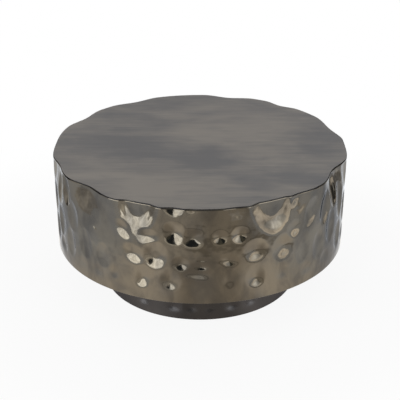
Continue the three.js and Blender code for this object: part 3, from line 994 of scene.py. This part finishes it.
@dataclass
class DrumWall(HammeredWall):
    """The drum's polished wall.

    The rows of front_blows and of side_blows, which are crisp, are listed one by one and hold what by_hand
    reads. A front blow centred on the edge or above it draws the edge in. So does each row of edge_blows:
    its turn as a share of a full turn, then shares of edge_size.
    """

    edge_fade: float = 10 * MM
    edge_size: tuple[float, float, float] = (160 * MM, 180 * MM, 15 * MM)
    front_blows: tuple[tuple[float, ...], ...] = (
        (-22.7, 1.12, 63, 122, 10.7, -3, 0.5, 1.95),
        (-9.2, 1.04, 36, 34, 6.6),
        (-3.3, 1.02, 18, 18, 2.4),
        (27.0, 1.10, 74, 120, 12, 2, 0.48, 1.8),
        (36.6, 0.975, 15, 32, 2.8, -30),
        (-28.4, 0.715, 25, 36, 6.2, 42),
        (-19.2, 0.69, 38, 25, 5.6, 5),
        (-9.3, 0.75, 33, 36, 10, 0, 1, 2.3),
        (-2.7, 0.705, 31, 28, 7, 0, 1, 3),
        (7.1, 0.71, 24, 23, 6),
        (14.2, 0.72, 27, 26, 7),
        (36.2, 0.66, 26, 32, 5.5, -25),
        (-24.5, 0.475, 37, 28, 7, -34),
        (-16.2, 0.50, 38, 43, 8, 0, 0.8),
        (-6.8, 0.43, 26, 24, 5.4),
        (0.6, 0.475, 14, 8, 1.7),
        (0.2, 0.40, 24, 17, 4.8),
        (10.4, 0.46, 28, 20, 4.4, -20),
        (20.2, 0.53, 37, 35, 6.6),
        (31.6, 0.50, 36, 42, 8, -15, 1, 2.3),
        (-21.2, 0.235, 26, 40, 8.5, -12),
        (-10.8, 0.24, 32, 36, 6),
        (-0.6, 0.33, 42, 19, 2.8, -6, 1, 2.4),
        (10.5, 0.25, 26, 32, 3),
        (20.6, 0.24, 31, 38, 7),
        (-33.0, 0.21, 18, 24, 2.4),
        (31.0, 0.24, 27, 30, 2),
    )
    side_blows: tuple[tuple[float, ...], ...] = (
        (-76.0, 0.96, 26, 46, 5),
        (-75.0, 0.62, 27, 50, 7),
        (-74.0, 0.29, 26, 44, 6.5),
        (-67.0, 0.80, 24, 46, 6),
        (-66.5, 0.44, 25, 46, 6),
        (-66.0, 0.15, 24, 32, 4),
        (-60.5, 0.865, 24, 52, 8.5, 9),
        (-55.5, 0.62, 27, 44, 4, 5),
        (-58.0, 0.29, 24, 44, 4.4),
        (-47.5, 0.40, 27, 44, 3.4),
        (-50.0, 0.12, 24, 28, 1.6),
        (-41.0, 0.715, 22, 30, 2.8),
        (-38.0, 0.36, 24, 36, 3),
        (-41.0, 0.13, 22, 26, 1.4),
        (44.5, 0.77, 24, 42, 4.6, -20),
        (41.0, 0.42, 26, 46, 3.8, -6),
        (43.0, 0.13, 24, 28, 1.6),
        (53.5, 0.73, 24, 50, 6.4, -8),
        (50.0, 0.36, 25, 44, 4),
        (61.0, 0.86, 22, 56, 7, -4),
        (58.5, 0.47, 25, 50, 5.6),
        (55.0, 0.13, 24, 30, 2.2),
        (67.5, 0.66, 24, 52, 7),
        (67.0, 0.27, 25, 46, 6),
        (75.0, 0.90, 25, 50, 6),
        (75.5, 0.50, 25, 48, 6.5),
        (75.0, 0.17, 24, 34, 4),
    )
    edge_blows: tuple[tuple[float, ...], ...] = (
        (-0.127, 1.05, 0.95, 0.95),
        (0.035, 0.5, 0.5, 0.2),
        (0.105, 0.8, 1.0, 0.5),
        (0.178, 1.2, 1.0, 1.2),
        (0.25, 1.2, 1.0, 0.25),
        (0.3, 1.3, 1.0, 0.85),
        (0.394, 0.75, 0.9, 0.8),
        (0.464, 1.0, 1.0, 1.05),
        (0.583, 1.0, 1.0, 0.8),
        (0.664, 1.0, 1.0, 0.8),
        (0.745, 1.4, 1.0, 0.3),
        (0.806, 0.9, 1.0, 0.55),
    )

    def __post_init__(self) -> None:
        """Places the blows."""
        height = self.upper - self.lower
        front = self.by_hand(self.front_blows)
        side = self.by_hand(self.side_blows, crisp=True)
        scatter = Scatter(
            radius=self.radius,
            lower=self.lower,
            height=height,
            rows=(0.14, 0.39, 0.65, 0.91),
            pitch=62 * MM,
            width=66 * MM,
            depth=7 * MM,
            tall_share=1.5,
            crisp=True,
            left_out=0.223 * FULL_TURN,
        )
        width, tall, depth = self.edge_size
        rim = [
            Blow(turn * FULL_TURN, self.upper, wide * width / 2, high * tall / 2, deep * depth)
            for turn, wide, high, deep in self.edge_blows
        ]
        over = [blow for blow in front if blow.level >= self.upper]
        below = [blow for blow in front if blow.level < self.upper]
        self.placed = Blows(self.radius, tuple(below + side + scatter.blows()))
        self.edge = Blows(self.radius, tuple(rim + over))


@dataclass
class PlinthWall(HammeredWall):
    """The plinth's wall, its nickel darkened partly by painted shade, plain where its foot ring and its
    flange are welded in.

    The rows of front_blows are listed one by one and hold what by_hand reads.
    """

    front_blows: tuple[tuple[float, ...], ...] = (
        (-34.0, 0.27, 28, 30, 6),
        (-15.2, 0.26, 30, 30, 6),
        (-4.9, 0.28, 27, 32, 4.8),
        (5.5, 0.25, 30, 30, 4.4),
        (18.3, 0.27, 29, 30, 5.6),
        (30.3, 0.29, 27, 30, 5.6),
    )

    def __post_init__(self) -> None:
        """Places the blows."""
        scatter = Scatter(
            radius=self.radius,
            lower=self.lower,
            height=self.upper - self.lower,
            rows=(0.3, 0.74),
            pitch=66 * MM,
            width=66 * MM,
            depth=5 * MM,
            left_out=0.125 * FULL_TURN,
        )
        self.placed = Blows(self.radius, (*self.by_hand(self.front_blows), *scatter.blows()))
        self.edge = Blows(self.radius, ())


@dataclass
class TopPlate:
    """The flat top, whose outline follows the wall's upper edge and whose upper edge is rolled over."""

    wall: DrumWall
    lower: float
    upper: float
    edge_round: float = 1.1 * MM
    edge_segments: int = 5
    edge_crease: float = math.radians(50)
    seat_ring: float = 3 * MM
    flat_from: float = 0.995

    def build(self) -> bpy.types.Object:
        """Models the top, draws in its outline and dresses it: satin above, painted seam shade on its edge.

        Returns:
            The top.
        """
        radius = self.wall.radius
        top = start_round("top_plate_satin", self.wall.steps, radius, self.lower, filled=True)
        extrude_up(self.upper - self.lower)
        pick(top, Element.EDGE, lambda edge: rings(edge, self.upper, radius))
        bpy.ops.mesh.bevel(offset=self.edge_round, segments=self.edge_segments)
        pick(top, Element.FACE, lambda face: len(face.verts) > 4)
        bpy.ops.mesh.inset(thickness=self.seat_ring, use_individual=True)
        close_mesh()
        self.draw_in(top)
        only(top)
        bpy.ops.object.shade_smooth_by_angle(angle=self.edge_crease)
        # The edge gets painted shade of the seam between the top and the wall.
        for finish in (SatinTop(), EdgeSeamShade()):
            top.data.materials.append(finish.material())
        for face in top.data.polygons:
            face.material_index = 0 if abs(face.normal.z) > self.flat_from else 1
        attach(top, BODY)
        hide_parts("top_plate")
        LOG.info("%s: %d faces", top.name, len(top.data.polygons))
        return top

    def draw_in(self, top: bpy.types.Object) -> None:
        """Moves the top's corners in as far as the wall's upper edge is drawn in.

        Args:
            top: the round top.
        """
        for corner in top.data.vertices:
            turn = np.array([math.atan2(corner.co.x, -corner.co.y)])
            drawn = float(self.wall.dent(turn, np.array([self.wall.upper]))[0])
            share = 1 - drawn / self.wall.radius
            corner.co.x *= share
            corner.co.y *= share
        top.data.update()


@dataclass
class Hardware:
    """The pieces that keep their CAD shape, by the starts of their names, and the finishes that they get."""

    finishes: tuple[tuple[tuple[str, ...], Finish], ...] = (
        (("rim_ring", "lower_rail", "upper_rail", "post", "plinth_flange", "plinth_foot_ring"), Paint()),
        (("underside_panel",), BOARD_PAINT),
        (("panel_screw",), SCREW_BLACK),
        (("plinth_bolt", "plinth_washer", "weld_nut", "glide_screw"), ZincPlate()),
        (("glide",), Nylon()),
    )

    def dress(self, nodes: dict[str, bpy.types.Object]) -> None:
        """Gives each of these CAD nodes its finish.

        Args:
            nodes: the CAD nodes by name.
        """
        for name, node in nodes.items():
            found = next((finish for starts, finish in self.finishes if name.startswith(starts)), None)
            if found is None:
                continue
            node.data.materials.clear()
            node.data.materials.append(found.material())
            LOG.info("%s: %s", name, found.name)


# The studio


@dataclass(frozen=True, kw_only=True)
class PaleFloor(Finish):
    """A pale floor that keeps the table's shadow and runs out into the white background.

    Where the metal mirrors it, it shows painted light and shade: a dim, warm painted shade before the table
    with a dark painted band of shade further out, painted brighter light at its sides, painted cooler light
    further out to each side, and bright painted light behind it.
    Bearings are degrees round from the front, and the other spans are metres from the table's middle.
    """

    name: str = "pale_floor"
    colour: Colour = (0.86, 0.855, 0.85)
    near_share: float = 0.9
    share_span: Span = (0.55, 1.15)
    # The colours and spans below are painted light and shade on the floor, which only reflections see.
    middle_near: Colour = (0.83, 0.765, 0.68)
    near_bearing: Span = (-15, 25)
    painted_shade_band: Colour = (0.47, 0.44, 0.39)
    band_bearing: Span = (-12, 48)
    band_soft: float = 12
    band_away: Span = (0.91, 1.0)
    band_away_soft: float = 0.035
    middle_far: Colour = (0.71, 0.67, 0.61)
    far_bearing: Span = (0, 33)
    bearing_soft: float = 9
    far_span: Span = (0.72, 0.97)
    far_slant: float = 0.08
    side_near: Colour = (1.44, 1.38, 1.30)
    side_far: Colour = (1.03, 1.0, 0.95)
    outer_span: Span = (0.4, 0.75)
    outer_near: Colour = (1.22, 1.30, 1.42)
    outer_far: Colour = (0.94, 1.0, 1.10)
    rear_span: Span = (0.2, 0.5)
    rear_painted_light: Colour = (1.70, 1.75, 1.80)

    def shade(self, graph: Graph) -> Value:
        """Adds the floor's nodes and gives its shader.

        Args:
            graph: the material's graph.

        Returns:
            The shader.
        """
        path = graph.node("ShaderNodeLightPath")
        rays = ("Is Camera Ray", "Is Glossy Ray", "Is Transmission Ray")
        camera, glossy, through = (Value(graph, path.outputs[ray]) for ray in rays)
        seen = graph.math("MINIMUM", camera + glossy + through, 1.0)
        place = graph.place()
        distance = graph.length(place)
        share = self.near_share + (1 - self.near_share) * distance.smooth(*self.share_span)
        across, along, _ = graph.axes(place)
        bearing = graph.bearing(across, along)
        # Painted light and shade on the floor, brighter at the sides and dimmer in front, for reflections
        # only.
        outer = abs(across).smooth(*self.outer_span)
        near = graph.mix(outer, self.side_near, self.outer_near)
        near = graph.mix(bearing.between(*self.near_bearing, self.bearing_soft), near, self.middle_near)
        far = graph.mix(outer, self.side_far, self.outer_far)
        far = graph.mix(bearing.between(*self.far_bearing, self.bearing_soft), far, self.middle_far)
        pale = graph.mix((distance - across * self.far_slant).smooth(*self.far_span), near, far)
        band = bearing.between(*self.band_bearing, self.band_soft)
        band = band * distance.between(*self.band_away, self.band_away_soft)
        pale = graph.mix(band, pale, self.painted_shade_band)
        pale = graph.mix(along.smooth(*self.rear_span), pale, self.rear_painted_light)
        lit = graph.value("ShaderNodeBsdfDiffuse", None, {"Color": self.colour})
        # White where the camera sees it; in reflections the floor glows with the painted light and shade.
        white = graph.value("ShaderNodeEmission", None, {"Color": graph.mix(camera, pale, grey(1.0))})
        return graph.value("ShaderNodeMixShader", None, {0: seen * share, 1: lit, 2: white})


@dataclass(frozen=True)
class SkyPatch:
    """A soft-edged patch of the studio's light, in degrees: round from the front, and up from the horizon."""

    name: str
    around: Span
    climb: Span
    colour: Colour
    around_soft: float = 1.5
    climb_soft: float = 1.0


# How high the room's walls and its skirting stand, in degrees
WALLS = (-14.5, 36)
SKIRTING = (-15, -4)


@dataclass
class Studio:
    """A pale round floor in a soft studio, painted patch over patch on a white room with uneven walls."""

    floor_radius: float = 1.5
    floor_steps: int = 96
    floor_rings: int = 3
    cloth: Noise = Noise(11.0, 4.0, 0.6)
    cloth_span: Span = (0.3, 0.7)
    cloth_depth: float = 0.6
    cloth_shade: Colour = (0.27, 0.25, 0.22)
    patches: tuple[SkyPatch, ...] = (
        SkyPatch("ceiling", (-400, 400), (36, 100), grey(0.66)),
        SkyPatch("side_walls", (-121, 121), WALLS, (0.72, 0.73, 0.75)),
        SkyPatch("rear_box_left", (-158, -128), WALLS, grey(2.4)),
        SkyPatch("rear_box_right", (128, 158), WALLS, grey(2.4)),
        SkyPatch("left_wall", (-121, -76), WALLS, (1.15, 1.16, 1.18)),
        SkyPatch("left_dark", (-124, -101), (-11, 30), (0.14, 0.14, 0.15), 2.0, 1.5),
        SkyPatch("right_wall", (24, 100), WALLS, (1.30, 1.36, 1.42)),
        SkyPatch("right_dark", (82, 108), (-11, 30), (0.14, 0.14, 0.15), 2.0, 1.5),
        SkyPatch("right_box", (37, 66), (-2.5, 36), (4.5, 4.7, 4.85), 8.5, 6.0),
        SkyPatch("left_box", (-76, -20), WALLS, (4.5, 4.7, 4.85)),
        SkyPatch("camera_side", (-20, 25), WALLS, (0.09, 0.105, 0.125)),
        SkyPatch("camera_right", (5, 25), WALLS, (0.27, 0.28, 0.26), 2.0),
        SkyPatch("right_skirting", (27, 100), SKIRTING, (2.6, 2.52, 2.4), 2.0, 1.5),
        SkyPatch("camera_skirting", (-20, 7), SKIRTING, (1.8, 1.78, 1.7), 2.0, 1.5),
        SkyPatch("dim_skirting", (7, 27), SKIRTING, (0.85, 0.81, 0.74), 3.0, 1.5),
    )

    def build(self) -> None:
        """Adds the floor and the light."""
        self.add_floor()
        self.add_light()

    def add_floor(self) -> None:
        """Adds the floor, cut into rings."""
        floor = start_round("studio_floor", self.floor_steps, self.floor_radius, 0, filled=True)
        bpy.ops.mesh.inset(thickness=self.floor_radius / self.floor_rings)
        bpy.ops.object.mode_set(mode="OBJECT")
        floor.data.materials.append(PaleFloor().material())
        LOG.info("%s: radius %.2f m", floor.name, self.floor_radius)

    def add_light(self) -> None:
        """Paints the studio's light on the world, white where the camera sees it."""
        world = bpy.data.worlds.new("studio_light")
        bpy.context.scene.world = world
        world.use_nodes = True
        graph = Graph(world.node_tree)
        ray = graph.value("ShaderNodeTexCoord", output="Generated")
        across, along, up = graph.axes(ray)
        around = graph.bearing(across, along)
        climb = graph.math("ARCSINE", up) * math.degrees(1)
        sky: Fed = grey(1.0)
        for patch in self.patches:
            high = climb.between(*patch.climb, patch.climb_soft)
            sky = graph.mix(high * around.between(*patch.around, patch.around_soft), sky, patch.colour)
        cloth = graph.noise(ray, self.cloth).smooth(*self.cloth_span)
        sky = graph.mix(cloth * self.cloth_depth, sky, self.cloth_shade, Blend.MULTIPLY)
        path = graph.node("ShaderNodeLightPath")
        seen = Value(graph, path.outputs["Is Camera Ray"])
        colour = graph.mix(seen, sky, grey(1.0))
        background = graph.value("ShaderNodeBackground", None, {"Color": colour, "Strength": 1.0})
        graph.node("ShaderNodeOutputWorld", None, {"Surface": background})
        LOG.info("studio light: %s", ", ".join(patch.name for patch in self.patches))


@dataclass
class PhotoCamera:
    """The photograph's camera, fitted to the table's outline: a long lens that looks down at the drum."""

    aim_height: float = 100 * MM
    distance: float = 2.8768
    down: float = math.radians(28.055)
    sensor: float = 36.0
    focal_share: float = 2.5
    rise_share: float = 0.1005
    sees_to: float = 100.0

    def build(self) -> bpy.types.Object:
        """Adds the camera and makes it the scene's.

        Returns:
            The camera.
        """
        made = bpy.data.cameras.new("photo_camera")
        made.sensor_fit = "HORIZONTAL"
        made.sensor_width = self.sensor
        made.lens = self.focal_share * self.sensor
        made.shift_y = self.rise_share
        made.clip_end = self.sees_to
        camera = bpy.data.objects.new("photo_camera", made)
        bpy.context.scene.collection.objects.link(camera)
        back = self.distance * math.cos(self.down)
        camera.location = (0, -back, self.aim_height + self.distance * math.sin(self.down))
        camera.rotation_euler = (math.pi / 2 - self.down, 0, 0)
        bpy.context.scene.camera = camera
        LOG.info("camera %.3f m from the drum's axis", back)
        return camera


def main() -> None:
    """Builds the table's looks, its studio and its camera, in order."""
    logging.basicConfig(level=logging.INFO, format="%(name)s: %(message)s")
    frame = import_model()
    wall_low, wall_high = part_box("drum_wall")
    plinth_low, plinth_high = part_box("plinth_wall")
    ring_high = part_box("rim_ring")[1]
    foot_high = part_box("plinth_foot_ring")[1]
    flange_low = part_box("plinth_flange")[0]
    top_low, top_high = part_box("top_plate")
    rim_margin = 4 * MM

    drum = DrumWall(
        name="drum_wall",
        finish=HammeredNickel(),
        slot=Slot.POLISHED_WALL,
        radius=wall_high.x,
        lower=wall_low.z,
        upper=wall_high.z,
        rim_top=ring_high.z + rim_margin,
        plain_from=wall_high.z,
        steps=720,
        rows=108,
        inner_rows=14,
    )
    drum.build()
    TopPlate(wall=drum, lower=top_low.z, upper=top_high.z).build()
    PlinthWall(
        name="plinth_wall",
        finish=PlinthNickel(),
        slot=Slot.DARK_PLINTH,
        radius=plinth_high.x,
        lower=plinth_low.z,
        upper=plinth_high.z,
        rim_top=foot_high.z + rim_margin,
        plain_from=flange_low.z - rim_margin,
        steps=420,
        rows=48,
        inner_rows=8,
    ).build()
    Hardware().dress(frame["nodes"])

    Studio().build()
    PhotoCamera().build()
    bpy.context.scene.view_settings.view_transform = "Standard"


if __name__ == "__main__":
    main()
